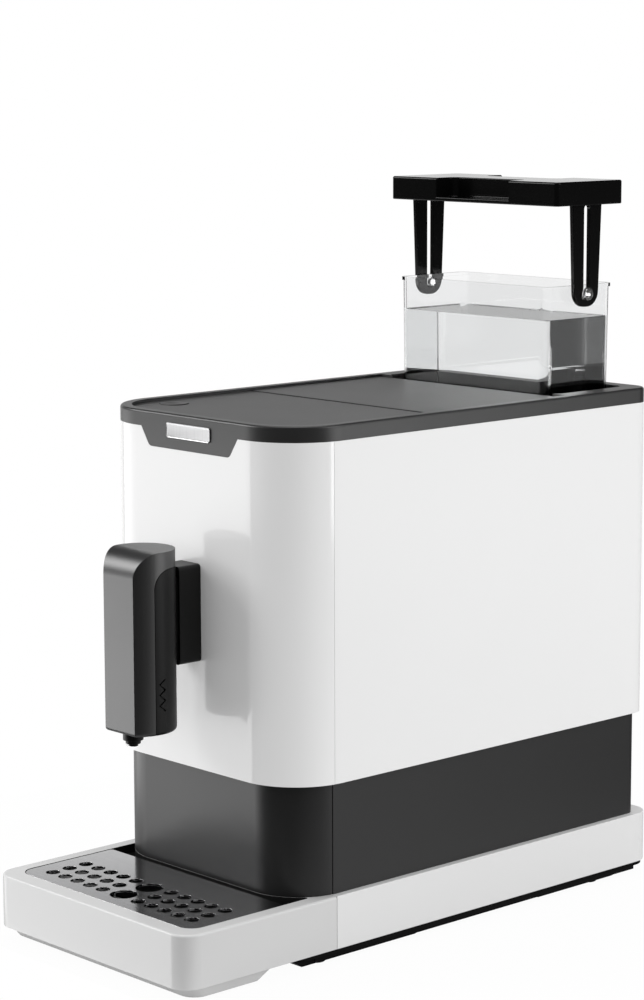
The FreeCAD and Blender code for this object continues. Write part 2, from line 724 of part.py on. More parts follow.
def gear_wire(teeth, root, tip, root_share, tip_share, start, x, d, z):
    pitch = 2 * math.pi / teeth
    points = []
    for i in range(teeth):
        mid = start + i * pitch
        for r, share in ((root, -root_share), (tip, -tip_share), (tip, tip_share), (root, root_share)):
            a = mid + share * pitch
            points.append(V(x + r * math.cos(a), at(d) + r * math.sin(a), z))
    return Part.makePolygon(points + points[:1])


def toothed(teeth, start, x, d, z, thick, root_share, tip_share):
    pitch_r = GEAR_MODULE * teeth / 2
    wire = gear_wire(teeth, pitch_r - 1.25 * GEAR_MODULE, pitch_r + 0.9 * GEAR_MODULE,
                     root_share, tip_share, start, x, d, z)
    return Part.Face(wire).extrude(V(0, 0, thick))


def burr_gear():
    g, low = GRIND_D, GRIND_LOW
    # a gap between two teeth faces the pinion, which lies towards the front
    start = -math.pi / 2 + math.pi / GEAR_TEETH
    gear = toothed(GEAR_TEETH, start, 0, g, low + 5, 6.0, 0.27, 0.12)
    return join(gear, rod(0, g, low - 4, 4.0, 10), rod(0, g, low + 11, 10.0, 6))


def motor_pinion():
    low = GRIND_LOW
    gear = toothed(PINION_TEETH, math.pi / 2, 0, PINION_D, low + 4.5, 7.0, 0.29, 0.11)
    return join(gear, rod(0, PINION_D, low - 13, 2.5, 18))


def cone_burr():
    g, low = GRIND_D, GRIND_LOW + 17
    body = cone(0, g, low, 18.0, 8.0, 20)
    for i in range(8):
        groove = Part.makeBox(14, 1.6, 30, V(9, -0.8, 0))
        groove.rotate(V(0, 0, 0), V(0, 1, 0), -24)
        groove.translate(V(8.5, 0, -6))
        groove.rotate(V(0, 0, 0), V(0, 0, 1), 45 * i)
        groove.translate(V(0, at(g), low))
        body = body.cut(groove)
    return body


def ring_burr():
    g, low = GRIND_D, GRIND_LOW + 18
    body = rod(0, g, low, GRINDER_R - 3.5, 24).cut(cone(0, g, low - 0.1, 22.5, 12.5, 24.2))
    tab = box((14.5, 18.0), (g - 2, g + 2), (low + 23, low + 45))
    return join(body, tab)


def grinder_motor():
    p, low = PINION_D, Z_FLOOR
    body = join(rod(0, p, low, 20.0, 14), rod(0, p, low + 14, MOTOR_R, GRIND_LOW - low - 14))
    for a in (0, 120, 240):
        x, dd = MOTOR_R * math.cos(math.radians(a)), MOTOR_R * math.sin(math.radians(a))
        body = body.cut(rod(x, p + dd, low + 30, 4.0, 40))
    return body.cut(rod(0, p, GRIND_LOW - 14, 2.5 + GAP, 20))


# Brew unit

def brew_frame():
    d = (42.0, 92.0)
    cheek = side_profile([(d[0], Z_FLOOR), (d[1], Z_FLOOR), (d[1], BREW_TOP + 3), (d[0], BREW_TOP + 3)],
                         [0, 0, 8, 8], 36.0, 3.0)
    cheek = cheek.cut(side_profile([(54, 200), (80, 200), (80, 238), (54, 238)], [6] * 4, 30.0, 12.0))
    plate = box((-36, 36), (d[0] + 8, d[1] - 8), (BREW_TOP, BREW_TOP + 3))
    body = join(cheek, mirrored(cheek), plate)
    return body.cut(rod(SPINDLE_X, BREW_D, BREW_TOP - 1, 4.5 + GAP, 10))


def brew_chamber():
    z0, z1 = CHAMBER_Z
    plate = box((-36, 36), (46, 90), (z0, z0 + 6))
    cup = rod(BREW_X, BREW_D, z0, BORE_R + 5, z1 - z0)
    rear = rod(BREW_X, BREW_D + BORE_R + 2, z0 + 22, SPIGOT_R + 1.7, 6, V(0, 1, 0))
    rear = join(rear, rod(BREW_X, BREW_D + BORE_R + 7, z0 + 22, SPIGOT_R, SPIGOT_REACH, V(0, 1, 0)))
    front = rod(BREW_X, BREW_D - BORE_R - 2, z0 + 10, SPIGOT_R + 1.7, 6, V(0, -1, 0))
    front = join(front, rod(BREW_X, BREW_D - BORE_R - 7, z0 + 10, SPIGOT_R, SPIGOT_REACH, V(0, -1, 0)))
    body = join(plate, cup, rear, front)
    body = body.cut(rod(BREW_X, BREW_D, z0 + 6, BORE_R, z1))
    return body.cut(rod(SPINDLE_X, BREW_D, z0 - 1, 4.5 + GAP, 10))


PISTON_LOW = CHAMBER_Z[1] + 10


def brew_piston():
    z = PISTON_LOW
    crown = rod(BREW_X, BREW_D, z, BORE_R - GAP, 28)
    groove = rod(BREW_X, BREW_D, z + 3, BORE_R + 1, 3).cut(rod(BREW_X, BREW_D, z + 2, BORE_R - 2.5, 5))
    arm = box((BREW_X, SPINDLE_X), (BREW_D - 6, BREW_D + 6), (z + 28, z + 36))
    nut = rod(SPINDLE_X, BREW_D, z + 22, 7.5, 18)
    body = join(crown.cut(groove), arm, nut)
    return body.cut(rod(SPINDLE_X, BREW_D, z, SPINDLE_R + GAP, 80))


def piston_seal():
    ring = rod(BREW_X, BREW_D, PISTON_LOW + 3, BORE_R - GAP, 3)
    return ring.cut(rod(BREW_X, BREW_D, PISTON_LOW, BORE_R - 2.5, 10))


def brew_spindle():
    z0 = CHAMBER_Z[0] + 6 + GAP
    z1 = BREW_TOP - GAP
    body = rod(SPINDLE_X, BREW_D, z0, SPINDLE_R, z1 - z0)
    for i in range(10):
        z = z0 + 8 + 9.4 * i
        ring = rod(SPINDLE_X, BREW_D, z, SPINDLE_R + 1, 3).cut(rod(SPINDLE_X, BREW_D, z, SPINDLE_R - 1, 3))
        body = body.cut(ring)
    return join(body, rod(SPINDLE_X, BREW_D, CHAMBER_Z[0], 4.5, 8), rod(SPINDLE_X, BREW_D, z1 - 1, 4.5, 9))


def brew_motor():
    z = BREW_TOP + 3
    case = box((6, 39), (50, 86), (z, z + 14))
    can = rod(16, BREW_D, z + 14, 14.0, 26)
    return join(case, can).cut(rod(SPINDLE_X, BREW_D, z - 1, 4.5 + GAP, 7))


# Heater, pump, meter and hoses


def spigot(x, d, z, along):
    root = Part.makeCylinder(SPIGOT_R + 1.7, 5, V(x, at(d), z), along)
    tip = Part.makeCylinder(SPIGOT_R, 5 + SPIGOT_REACH, V(x, at(d), z), along)
    return join(root, tip)


def heater_block():
    body = box(HEAT_X, HEAT_D, (Z_FLOOR + 4, 180))
    for d in (HEAT_D[0] + 10, HEAT_D[1] - 20):
        body = join(body, box((HEAT_X[0] + 4, HEAT_X[1] - 4), (d, d + 10), (Z_FLOOR, Z_FLOOR + 4)))
    for i in range(5):
        z = 122.0 + 11 * i
        body = body.cut(box((HEAT_X[0] - 1, HEAT_X[0] + 3), (HEAT_D[0] + 6, HEAT_D[1] - 6), (z, z + 5)))
        body = body.cut(box((HEAT_X[1] - 3, HEAT_X[1] + 1), (HEAT_D[0] + 6, HEAT_D[1] - 6), (z, z + 5)))
    for z in HEAT_STUBS:
        body = join(body, spigot(HEAT_STUB_X, HEAT_D[0], z, V(0, -1, 0)))
    return body


def pump():
    x, z = PUMP_X, PUMP_Z
    d = PUMP_D
    coil = box((x - 18, x + 18), (d + 27, d + 69), (z - 18, z + 18))
    barrel = rod(x, d + 9, z, 11.0, 84, V(0, 1, 0))
    nose = rod(x, d, z, 8.0, 10, V(0, 1, 0))
    front = spigot(x, d, z, V(0, -1, 0))
    rear = spigot(x, d + 93, z, V(0, 1, 0))
    straps = [box((x - 20, x + 20), (a, a + 3), (z - 20, z + 20)) for a in (d + 25, d + 68)]
    return join(coil, barrel, nose, front, rear, *straps)


def pump_mounts():
    mounts = []
    for d in (PUMP_D + 26.5, PUMP_D + 69.5):
        for x in (PUMP_X - 13, PUMP_X + 13):
            top = PUMP_Z - 20
            mount = join(rod(x, d, Z_EDGE, 6.0, 6), rod(x, d, Z_EDGE, 4.0, top - Z_EDGE),
                         rod(x, d, top - 6, 6.0, 6))
            mounts.append(mount)
    return Part.makeCompound(mounts)


def flow_meter():
    x, d, top = METER_X, METER_D, METER_TOP
    body = rod(x, d, Z_EDGE, METER_R, top - Z_EDGE)
    body = join(body, spigot(x, d, top - 1, V(0, 0, 1)), spigot(x + METER_R - 1, d, 18.0, V(1, 0, 0)))
    body = body.cut(rod(x, d, Z_EDGE + 3, METER_R - 3, top - Z_EDGE - 6))
    return body.cut(rod(x, d, Z_EDGE + 1, 1.5 + GAP, top - Z_EDGE - 2.2))


def flow_impeller():
    x, d = METER_X, METER_D
    low, tall = Z_EDGE + 4, METER_TOP - Z_EDGE - 8
    body = join(rod(x, d, low, 5.0, tall), rod(x, d, Z_EDGE + 1.5, 1.5, METER_TOP - Z_EDGE - 3.2))
    for i in range(6):
        blade = Part.makeBox(13.5, 1.2, tall, V(0, -0.6, low))
        blade.rotate(V(0, 0, 0), V(0, 0, 1), 60 * i)
        blade.translate(V(x, at(d), 0))
        body = join(body, blade)
    return body


def hose(points, bend):
    # tube with straight runs and round bends, bored at both ends for the spigots
    stops = [V(x, at(d), z) for x, d, z in points]
    edges = []
    last = stops[0]
    for i in range(1, len(stops) - 1):
        a = (stops[i - 1] - stops[i]).normalize()
        b = (stops[i + 1] - stops[i]).normalize()
        half = a.getAngle(b) / 2
        reach = bend / math.tan(half)
        start = stops[i] + a * reach
        stop = stops[i] + b * reach
        bis = (a + b).normalize()
        mid = stops[i] + bis * (bend / math.sin(half) - bend)
        edges.append(Part.makeLine(last, start))
        edges.append(Part.Arc(start, mid, stop).toShape())
        last = stop
    edges.append(Part.makeLine(last, stops[-1]))
    path = Part.Wire(edges)
    first = (stops[1] - stops[0]).normalize()
    ring = Part.Wire([Part.makeCircle(HOSE_R, stops[0], first)])
    body = path.makePipeShell([ring], True, False)
    final = (stops[-2] - stops[-1]).normalize()
    for p, way in ((stops[0], first), (stops[-1], final)):
        body = body.cut(Part.makeCylinder(SPIGOT_R + SNUG / 2, SPIGOT_REACH + 2, p, way))
    return body


def cold_hoses():
    # tank to flow meter, and flow meter to pump
    top = WELL_FLOOR - 2.2 - 9
    down = hose([(0, OUTLET_D, top), (0, OUTLET_D, 72), (METER_X, METER_D, 58),
                 (METER_X, METER_D, METER_TOP + 4)], 9.0)
    x = METER_X + METER_R + 4
    turn = PUMP_X - 24
    back = PUMP_D + 121
    feed = hose([(x, METER_D, 18), (turn, METER_D, 18), (turn, back, 30), (PUMP_X, back, PUMP_Z),
                 (PUMP_X, PUMP_D + 98, PUMP_Z)], 8.0)
    return Part.makeCompound([down, feed])


def hot_hoses():
    # pump to heater, heater to brew chamber, and brew chamber to spout
    low, high = HEAT_STUBS
    turn = HEAT_D[0] - 22
    run = PINION_D - MOTOR_R - HOSE_R - 1.4
    rise = hose([(PUMP_X, PUMP_D - 5, PUMP_Z), (PUMP_X, RISE_D, PUMP_Z), (PUMP_X, RISE_D, low),
                 (PUMP_X, turn, low), (HEAT_STUB_X, turn, low), (HEAT_STUB_X, HEAT_D[0] - 5, low)], 6.0)
    z = CHAMBER_Z[0] + 22
    brew = hose([(HEAT_STUB_X, HEAT_D[0] - 5, high), (HEAT_STUB_X, run, high), (BREW_X, run, z),
                 (BREW_X, BREW_D + BORE_R + 8, z)], 6.0)
    z = CHAMBER_Z[0] + 10
    pour = hose([(BREW_X, BREW_D - BORE_R - 8, z), (BREW_X, 24, z), (0, 24, OUTLET_Z),
                 (0, 12, OUTLET_Z)], 5.0)
    return Part.makeCompound([rise, brew, pour])


# Spout

def spout_plan():
    # flat face, sides that swell to the belly, and a half round at the back
    f, mid = SPOUT_FRONT, SPOUT_BACK - SPOUT_BELLY
    swell = SPOUT_BELLY - SPOUT_FACE
    bend = ((mid - f) ** 2 + swell ** 2) / (2 * swell)
    turn = math.asin((mid - f) / bend) / 2
    x, d = SPOUT_BELLY - bend + bend * math.cos(turn), mid - bend * math.sin(turn)
    front = Part.makeLine(V(-SPOUT_FACE, at(f), 0), V(SPOUT_FACE, at(f), 0))
    right = Part.Arc(V(SPOUT_FACE, at(f), 0), V(x, at(d), 0), V(SPOUT_BELLY, at(mid), 0))
    back = Part.Arc(V(SPOUT_BELLY, at(mid), 0), V(0, at(SPOUT_BACK), 0), V(-SPOUT_BELLY, at(mid), 0))
    left = Part.Arc(V(-SPOUT_BELLY, at(mid), 0), V(-x, at(d), 0), V(-SPOUT_FACE, at(f), 0))
    return Part.Wire([front, right.toShape(), back.toShape(), left.toShape()])


def spout_column():
    face = Part.Face(spout_plan())
    face.translate(V(0, 0, SPOUT_Z[0]))
    column = face.extrude(V(0, 0, SPOUT_Z[1] - SPOUT_Z[0]))
    f, b, low, top = SPOUT_FRONT, SPOUT_BACK, SPOUT_Z[0], SPOUT_Z[1]
    edges = [e for e in column.Edges if all(abs(v.Z - low) < 1e-6 for v in e.Vertexes)]
    column = column.makeFillet(SPOUT_LIP, edges)
    side = side_profile([(f, low), (b, low), (b, top), (f, top)], [0, 0, 0, SPOUT_CROWN], -40, 80)
    return column.common(side)


def spout_room():
    z = (RAIL_Z[0] - SPOUT_UP - 1, RAIL_Z[1] + SPOUT_DOWN + 1)
    play = RAIL_PLAY
    channel = box((-RAIL_HALF - play, RAIL_HALF + play), (RAIL_D[0] - play, RAIL_D[1] + play), z)
    mouth = box((-NECK_HALF - play, NECK_HALF + play), (RAIL_D[1], 0), z)
    return channel.fuse(mouth)


def grip_zone(grow):
    points = [(GRIP_D - grow, 100), (60, 100), (60, GRIP_TOP + grow), (GRIP_D - grow, GRIP_TOP + grow)]
    return side_profile(points, [0, 0, 0, 11.0 + grow], -40, 80)


def spout_cover():
    return spout_column().cut(grip_zone(0.4)).cut(spout_room())


def spout_body():
    body = spout_column().common(grip_zone(0)).cut(spout_room())
    # upper edge stays hung on the cover by a short tongue
    tongue = box((-6, 6), (GRIP_D - 0.4, GRIP_D + 0.1), (150, 156))
    body = join(body, tongue)
    # three shallow arrowheads on each side show where to grip
    core = box((-GRIP_CORE, GRIP_CORE), (SPOUT_FRONT, 0), SPOUT_Z)
    for z in GRIP_MARK_Z:
        for turn in (-1, 1):
            mark = Part.makeBox(60, 5.4, 1.0, V(-30, 0, -0.5))
            mark.rotate(V(0, 0, 0), V(1, 0, 0), 36 * turn)
            mark.translate(V(0, at(GRIP_MARK_D), z))
            body = body.cut(mark.cut(core))
    return body


NOZZLE_D = -44.7
NOZZLE_STEPS = [(6.1, 4.6), (4.5, 2.2), (2.9, 1.6)]
NOZZLE_BORE = 1.1
BORE_X = 1.45


def spout_nozzles():
    # one stepped nozzle with two fine outlets
    z = SPOUT_Z[0]
    steps = []
    for r, drop in NOZZLE_STEPS:
        z -= drop
        steps.append(rod(0, NOZZLE_D, z, r, drop))
    bores = [rod(x, NOZZLE_D, z - 1, NOZZLE_BORE, 8) for x in (-BORE_X, BORE_X)]
    return join(*steps).cut(Part.makeCompound(bores))


def spout_bracket():
    back = SPOUT_BACK + 0.5
    block = front_profile([(-10, BRACKET_Z[0]), (10, BRACKET_Z[0]), (10, BRACKET_Z[1]), (-10, BRACKET_Z[1])],
                          [2.5] * 4, back, -back)
    neck = box((-NECK_HALF, NECK_HALF), (RAIL_D[1] - 1, back + 1), RAIL_Z)
    head = box((-RAIL_HALF, RAIL_HALF), RAIL_D, RAIL_Z)
    stub = rod(0, -1, OUTLET_Z, 5.5, 8, V(0, 1, 0))
    tip = rod(0, 6, OUTLET_Z, SPIGOT_R, SPIGOT_REACH + 6, V(0, 1, 0))
    root = rod(0, 6, OUTLET_Z, SPIGOT_R + 1.7, 6, V(0, 1, 0))
    studs = [rod(0, -1, z, SCREW_R, 6, V(0, 1, 0)) for z in (BRACKET_Z[0] + 7, BRACKET_Z[1] - 7)]
    return join(block, neck, head, stub, root, tip, *studs)


# Drip tray drawer

def band_foot(z):
    # what the dark band covers on the tray, seen from above
    return slab(HALF_W - BAND_INSET, (BAND_INSET + 1.0, 80), R_FRONT - BAND_INSET, 1.0, z)


def drip_tray():
    rear = SEAM + 0.9
    front = -TRAY_REACH
    body = slab(HALF_W, (front, rear + 20), TRAY_R, 1.0, (TRAY_LOW, Z_BASE))
    body = top_filleted(body, Z_BASE, 1.5)
    foot = loft(outline(HALF_W - 4.5, (front + 9.5, -21), 10.0, 4.0, TRAY_FOOT),
                outline(HALF_W - 2.0, (front + 4.0, -12), 11.0, 4.0, TRAY_LOW))
    body = join(body, foot).common(box((-HALF_W, HALF_W), (front, rear), (0, Z_BASE)))
    seat = slab(GRID_HALF + 0.5, (GRID_D[0] - 0.5, GRID_D[1] + 0.5), GRID_R + 0.5, 0.5, (GRID_SEAT, 60))
    basin = slab(GRID_HALF - 3.2, (GRID_D[0] + 3, -25), 7.0, 5.0, (TRAY_FOOT + 2.4, 60))
    shelf = slab(GRID_HALF - 3.2, (GRID_D[0] + 3, 1), 7.0, 3.0, (TRAY_FLOOR, 60))
    gutter = slab(GRID_HALF + 0.5, (0, GUTTER_REAR), 0.5, 0.5, (GUTTER_FLOOR, 60)).cut(band_foot((0, 60)))
    tunnel = box((-HALF_W + 3, HALF_W - 3), (9, rear + 5), (TRAY_FLOOR, GUTTER_FLOOR - WALL))
    body = body.cut(seat).cut(basin).cut(shelf).cut(gutter).cut(tunnel)
    run = box((-RUNNER_HALF, RUNNER_HALF), (rear - 1, BIN_D[1] + 2.2), (TRAY_LOW, 30))
    run = run.cut(box((-BIN_HALF - 0.3, BIN_HALF + 0.3), (0, BIN_D[1] + 0.2), (TRAY_FLOOR, 60)))
    return join(body, run)


def drawer_front():
    inset = BAND_INSET + 1.0
    outer = band_foot((Z_BASE, Z_SHELL - GAP))
    inner = slab(HALF_W - BAND_INSET - BAND_WALL, (inset + BAND_WALL, 90), R_FRONT - BAND_INSET - BAND_WALL,
                 1.0, (0, 200))
    body = outer.cut(inner).common(box((-HALF_W, HALF_W), (0, SEAM + 2.0), (0, 200)))
    ribs = [box((x - 1, x + 1), (inset + 1, inset + 8), (Z_BASE, 100)) for x in (-38.0, 0.0, 38.0)]
    return join(body, *ribs)


def grounds_container():
    outer = slab(BIN_HALF, BIN_D, 6.0, 6.0, (TRAY_FLOOR, BIN_TOP))
    inner = slab(BIN_HALF - 2, (BIN_D[0] + 2, BIN_D[1] - 2), 4.0, 4.0, (TRAY_FLOOR + 2, BIN_TOP + 5))
    rim = slab(BIN_HALF + 1.5, (BIN_D[0] - 0.8, BIN_D[1] + 1.5), 7.0, 7.0, (BIN_TOP - 2.5, BIN_TOP))
    return join(outer, rim).cut(inner)


HOLE_R = 4.4
BIG_HOLE_R = 8.4
HOLE_EDGE = 15.1
HOLE_FIRST = 16.6
HOLE_COLS = 5
HOLE_PITCH = (GRID_HALF - HOLE_EDGE - HOLE_FIRST) / (HOLE_COLS - 1)
HOLE_D = (-30.7, -12.65)
BIG_HOLE_D = (-33.8, -53.4)


def drip_grid():
    low = GRID_SEAT + GAP
    body = slab(GRID_HALF, GRID_D, GRID_R, 2.0, (low, low + GRID_THICK))
    skirt = slab(GRID_HALF - 4, (GRID_D[0] + 4, GRID_D[1] - 2), 4.5, 1.5, (low - 5, low))
    skirt = skirt.cut(slab(GRID_HALF - 5.2, (GRID_D[0] + 5.2, GRID_D[1] - 3.2), 3.3, 1.0, (low - 6, low)))
    holes = []
    for col in range(HOLE_COLS):
        for row in range(3):
            x = HOLE_FIRST + HOLE_PITCH * col
            for side in (-1, 1):
                holes.append(rod(side * x, HOLE_D[0] + HOLE_D[1] * row, low - 1, HOLE_R, 5))
    for d in BIG_HOLE_D:
        holes.append(rod(0, d, low - 1, BIG_HOLE_R, 5))
    return join(body, skirt).cut(Part.makeCompound(holes))


PIECES = {
    "base_pan": base_pan, "rubber_feet": rubber_feet, "base_frame": base_frame,
    "base_screws": base_screws, "lower_band": lower_band, "cord_gland": cord_gland,
    "front_shell": front_shell, "side_panel_right": side_panel,
    "side_panel_left": lambda: mirrored(side_panel()), "rear_panel": rear_panel,
    "rear_screws": rear_screws, "top_frame": top_frame, "badge_plate": badge_plate,
    "inner_deck": inner_deck, "inner_posts": inner_posts, "control_panel": control_panel,
    "power_button": power_button, "control_board": control_board, "power_board": power_board,
    "tank_well": tank_well, "tank_coupler": tank_coupler, "coupler_seal": coupler_seal,
    "water_tank": water_tank, "tank_filter": tank_filter, "tank_valve": tank_valve,
    "tank_lid": tank_lid, "lift_arms": lift_arms, "bean_lid": bean_lid,
    "bean_lid_seal": bean_lid_seal, "bean_hopper": bean_hopper, "coffee_chute": coffee_chute,
    "grinder_housing": grinder_housing, "burr_gear": burr_gear, "motor_pinion": motor_pinion,
    "cone_burr": cone_burr, "ring_burr": ring_burr, "grinder_motor": grinder_motor,
    "brew_frame": brew_frame, "brew_chamber": brew_chamber, "brew_piston": brew_piston,
    "piston_seal": piston_seal, "brew_spindle": brew_spindle, "brew_motor": brew_motor,
    "heater_block": heater_block, "pump": pump, "pump_mounts": pump_mounts,
    "flow_meter": flow_meter, "flow_impeller": flow_impeller, "cold_hoses": cold_hoses,
    "hot_hoses": hot_hoses, "spout_bracket": spout_bracket, "spout_cover": spout_cover,
    "spout_body": spout_body, "spout_nozzles": spout_nozzles, "drip_tray": drip_tray,
    "drawer_front": drawer_front, "grounds_container": grounds_container, "drip_grid": drip_grid,
}

os.makedirs("parts", exist_ok=True)
for node, make in PIECES.items():
    make().exportStep("parts/" + node + ".step")
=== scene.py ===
import bpy
import json
import math
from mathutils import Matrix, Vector

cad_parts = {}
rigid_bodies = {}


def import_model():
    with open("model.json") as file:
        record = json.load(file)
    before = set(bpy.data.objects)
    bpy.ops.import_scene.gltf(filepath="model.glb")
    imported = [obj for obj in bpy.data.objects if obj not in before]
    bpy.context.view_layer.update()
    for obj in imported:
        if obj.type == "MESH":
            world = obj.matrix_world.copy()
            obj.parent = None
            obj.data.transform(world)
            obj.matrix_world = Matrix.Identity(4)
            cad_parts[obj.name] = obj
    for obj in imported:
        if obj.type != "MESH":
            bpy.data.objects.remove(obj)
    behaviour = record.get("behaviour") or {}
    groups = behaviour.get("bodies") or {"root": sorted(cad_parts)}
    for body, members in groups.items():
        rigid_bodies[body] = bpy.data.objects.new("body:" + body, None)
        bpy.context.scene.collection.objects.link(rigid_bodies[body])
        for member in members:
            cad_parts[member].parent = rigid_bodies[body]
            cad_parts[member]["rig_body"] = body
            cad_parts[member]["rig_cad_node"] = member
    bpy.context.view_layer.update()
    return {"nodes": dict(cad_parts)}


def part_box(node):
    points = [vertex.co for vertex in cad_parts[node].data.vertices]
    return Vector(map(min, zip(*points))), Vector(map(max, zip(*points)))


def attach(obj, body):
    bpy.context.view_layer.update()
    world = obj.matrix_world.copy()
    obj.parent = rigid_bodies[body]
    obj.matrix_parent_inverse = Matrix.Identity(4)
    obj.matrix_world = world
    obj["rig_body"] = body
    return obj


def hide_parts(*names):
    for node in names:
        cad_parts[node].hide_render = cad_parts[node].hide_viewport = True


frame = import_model()
nodes = frame["nodes"]
scene = bpy.context.scene
scene.view_settings.view_transform = "Standard"
print("frame loaded:", len(nodes), "nodes")


def enterEdit():
    bpy.ops.object.mode_set(mode="EDIT")


def leaveEdit():
    bpy.ops.object.mode_set(mode="OBJECT")


def clearSelection():
    if bpy.context.object and bpy.context.object.mode != "OBJECT":
        leaveEdit()
    bpy.ops.object.select_all(action="DESELECT")


def pick(obj):
    clearSelection()
    obj.select_set(True)
    bpy.context.view_layer.objects.active = obj


def addNode(tree, kind, **values):  # a value goes to the input of its name, or else to the node itself
    node = tree.nodes.new(kind)
    for key, value in values.items():
        if key in node.inputs:
            node.inputs[key].default_value = value
        else:
            setattr(node, key, value)
    return node


def addMath(tree, operation, *values, clamp=False):
    node = addNode(tree, "ShaderNodeMath", operation=operation, use_clamp=clamp)
    for socket, value in zip(node.inputs, values):
        if isinstance(value, (int, float)):
            socket.default_value = value
        else:
            tree.links.new(value, socket)
    return node.outputs[0]


skinOutputs = {"Color": "Color", "Roughness": "Float", "Normal": "Vector"}


def newGroup(name, inputs):
    group = bpy.data.node_groups.new(name, "ShaderNodeTree")
    for way, sockets in (("INPUT", inputs), ("OUTPUT", skinOutputs)):
        for label, kind in sockets.items():
            group.interface.new_socket(name=label, in_out=way, socket_type="NodeSocket" + kind)
    return group, group.nodes.new("NodeGroupInput"), group.nodes.new("NodeGroupOutput")


def closeGroup(group, colour, swing, rough, height, depth, reach, gout):  # tint, roughness and bump go out
    tint = addNode(group, "ShaderNodeMix", data_type="RGBA", blend_type="MULTIPLY")
    tint.inputs["Factor"].default_value = 1.0
    bump = addNode(group, "ShaderNodeBump", Distance=reach)
    link = group.links.new
    link(colour, tint.inputs["A"])
    link(swing, tint.inputs["B"])
    link(depth, bump.inputs["Strength"])
    link(height, bump.inputs["Height"])
    link(tint.outputs["Result"], gout.inputs["Color"])
    link(rough, gout.inputs["Roughness"])
    link(bump.outputs["Normal"], gout.inputs["Normal"])


mould = {"cloudScale": 14.0, "cloudDetail": 3.0, "cloudMiddle": 0.5, "grainDetail": 2.0, "reach": 0.0002}


def makeMouldGroup():  # moulded plastic: cloudy tone, roughness drift and a fine skin texture
    group, gin, gout = newGroup("mouldedSkin", {
        "Color": "Color", "Tone": "Float", "Rough": "Float", "Rough Drift": "Float",
        "Grain Scale": "Float", "Grain Depth": "Float"})
    place = addNode(group, "ShaderNodeTexCoord").outputs["Object"]
    cloud = addNode(group, "ShaderNodeTexNoise", Scale=mould["cloudScale"], Detail=mould["cloudDetail"])
    grain = addNode(group, "ShaderNodeTexNoise", Detail=mould["grainDetail"])
    group.links.new(place, cloud.inputs["Vector"])
    group.links.new(place, grain.inputs["Vector"])
    group.links.new(gin.outputs["Grain Scale"], grain.inputs["Scale"])
    shift = addMath(group, "SUBTRACT", cloud.outputs["Fac"], mould["cloudMiddle"])
    swing = addMath(group, "MULTIPLY_ADD", shift, gin.outputs["Tone"], 1.0)
    drift, rough = gin.outputs["Rough Drift"], gin.outputs["Rough"]
    rough = addMath(group, "MULTIPLY_ADD", shift, drift, rough, clamp=True)
    depth = gin.outputs["Grain Depth"]
    closeGroup(group, gin.outputs["Color"], swing, rough, grain.outputs["Fac"], depth, mould["reach"], gout)
    return group


brush = {"detail": 4.0, "tone": (0.86, 1.1), "roughSwing": 0.12, "reach": 0.0001}


def makeBrushGroup():  # drawn or brushed metal: long fine streaks along one axis
    group, gin, gout = newGroup("brushedStreaks", {
        "Color": "Color", "Rough": "Float", "Streak Scale": "Vector", "Depth": "Float"})
    place = addNode(group, "ShaderNodeTexCoord").outputs["Object"]
    stretch = addNode(group, "ShaderNodeVectorMath", operation="MULTIPLY")
    group.links.new(place, stretch.inputs[0])
    group.links.new(gin.outputs["Streak Scale"], stretch.inputs[1])
    streak = addNode(group, "ShaderNodeTexNoise", Scale=1.0, Detail=brush["detail"])
    group.links.new(stretch.outputs[0], streak.inputs["Vector"])
    tone = addNode(group, "ShaderNodeMapRange")
    tone.inputs["To Min"].default_value, tone.inputs["To Max"].default_value = brush["tone"]
    height = streak.outputs["Fac"]
    group.links.new(height, tone.inputs["Value"])
    rough = addMath(group, "MULTIPLY_ADD", height, brush["roughSwing"], gin.outputs["Rough"], clamp=True)
    swing, depth = tone.outputs["Result"], gin.outputs["Depth"]
    closeGroup(group, gin.outputs["Color"], swing, rough, height, depth, brush["reach"], gout)
    return group


mouldGroup = makeMouldGroup()
brushGroup = makeBrushGroup()


def toned(tone):  # one number is a grey
    return (*tone, 1) if isinstance(tone, tuple) else (tone, tone, tone, 1)


def startMaterial(name, constants):
    mat = bpy.data.materials.new(name)
    mat.use_nodes = True
    shader = mat.node_tree.nodes["Principled BSDF"]
    for label, value in constants.items():
        shader.inputs[label].default_value = value
    return mat, shader


def placeGroup(mat, shader, group, values):
    tree = mat.node_tree
    node = addNode(tree, "ShaderNodeGroup", node_tree=group)
    for label, value in values.items():
        node.inputs[label].default_value = value
    for source, target in (("Color", "Base Color"), ("Roughness", "Roughness"), ("Normal", "Normal")):
        tree.links.new(node.outputs[source], shader.inputs[target])


def mouldedPlastic(name, tone, rough, drift, grain, cloud, specular=0.5, ior=1.5):
    mat, shader = startMaterial(name, {"IOR": ior, "Specular IOR Level": specular})
    scale, depth = grain
    placeGroup(mat, shader, mouldGroup, {
        "Color": toned(tone), "Tone": cloud, "Rough": rough, "Rough Drift": drift,
        "Grain Scale": scale, "Grain Depth": depth})
    return mat


def brushedMetal(name, tone, rough, streak=(8.0, 900.0, 900.0), depth=0.08):
    mat, shader = startMaterial(name, {"Metallic": 1.0})
    placeGroup(mat, shader, brushGroup, {
        "Color": toned(tone), "Rough": rough, "Streak Scale": streak, "Depth": depth})
    return mat


def clearBody(name, tone, ior, rough):
    return startMaterial(name, {
        "Base Color": toned(tone), "Transmission Weight": 1.0, "IOR": ior, "Roughness": rough})[0]


